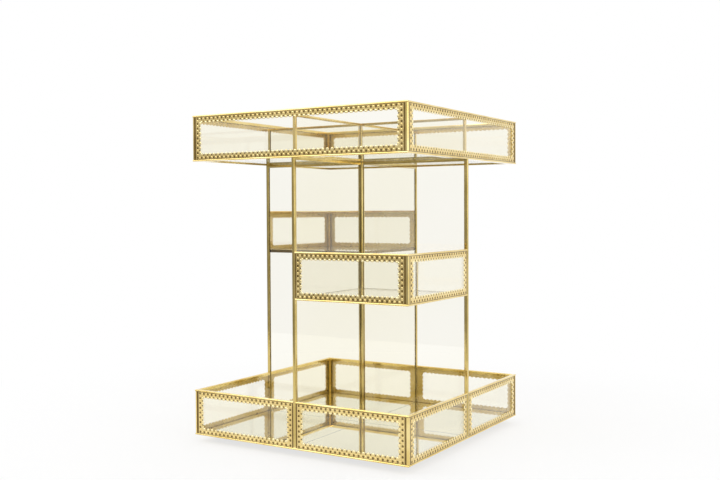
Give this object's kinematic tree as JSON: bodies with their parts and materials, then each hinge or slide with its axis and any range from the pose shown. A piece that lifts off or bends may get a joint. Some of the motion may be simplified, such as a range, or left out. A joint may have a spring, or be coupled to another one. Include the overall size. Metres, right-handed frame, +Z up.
{
  "type": "rotating cosmetics organizer",
  "caption": "Square brass-framed clear-glass cosmetics organizer on a low roller turntable, with open trays at several heights joined by posts and panes.",
  "frame": {"origin": "on the table, under the middle of the organizer", "axes": "+Z up, -Y the front, +X the right side; both are faces of the square plan"},
  "size_m": [0.3, 0.3, 0.4015],
  "materials": {
    "brass": "polished yellow brass, bright edges",
    "lace": "stamped polished brass",
    "pane": "clear glass with a slight cream tint",
    "mirror": "silvered mirror",
    "rubber": "soft black rubber",
    "track": "satin aluminium sheet",
    "roller": "white nylon",
    "cage": "black nylon",
    "foam": "grey foam tape"
  },
  "bodies": {
    "base": {"rubber_feet": "rubber", "lower_track": "track"},
    "organizer": {"upper_track": "track", "foam_pads": "foam", "base_frame": "brass", "base_mirror": "mirror", "base_pane_front_left": "pane", "base_lace_front_left": "lace", "base_pane_front_right": "pane", "base_lace_front_right": "lace", "base_pane_right_left": "pane", "base_lace_right_left": "lace", "base_pane_right_right": "pane", "base_lace_right_right": "lace", "base_pane_rear_left": "pane", "base_lace_rear_left": "lace", "base_pane_rear_right": "pane", "base_lace_rear_right": "lace", "base_pane_left_left": "pane", "base_lace_left_left": "lace", "base_pane_left_right": "pane", "base_lace_left_right": "lace", "side_post_front": "brass", "partition_front": "pane", "side_post_right": "brass", "partition_right": "pane", "side_post_rear": "brass", "partition_rear": "pane", "side_post_left": "brass", "partition_left": "pane", "centre_post": "brass", "cross_bars": "brass", "front_tray_frame": "brass", "front_tray_floor": "pane", "front_tray_pane_left": "pane", "front_tray_lace_left": "lace", "front_tray_pane_right": "pane", "front_tray_lace_right": "lace", "rear_tray_frame": "brass", "rear_tray_floor": "pane", "rear_tray_pane_left": "pane", "rear_tray_lace_left": "lace", "rear_tray_pane_right": "pane", "rear_tray_lace_right": "lace", "top_frame": "brass", "top_floor": "pane", "top_pane_front": "pane", "top_lace_front": "lace", "top_pane_right": "pane", "top_lace_right": "lace", "top_pane_rear": "pane", "top_lace_rear": "lace", "top_pane_left": "pane", "top_lace_left": "lace", "divider_frame": "brass", "divider_panes": "pane"},
    "roller_cage": {"roller_cage": "cage", "track_rollers": "roller"}
  },
  "joints": [
    {"name": "turntable_spin", "type": "hinge", "parent": "base", "child": "organizer", "pos_m": [0, 0, 0], "axis": [0, 0, 1], "continuous": true},
    {"name": "cage_spin", "type": "hinge", "parent": "base", "child": "roller_cage", "pos_m": [0, 0, 0], "axis": [0, 0, 1], "continuous": true}
  ],
  "couplings": [
    {"joint": "cage_spin", "follows": "turntable_spin", "ratio": 0.5}
  ]
}
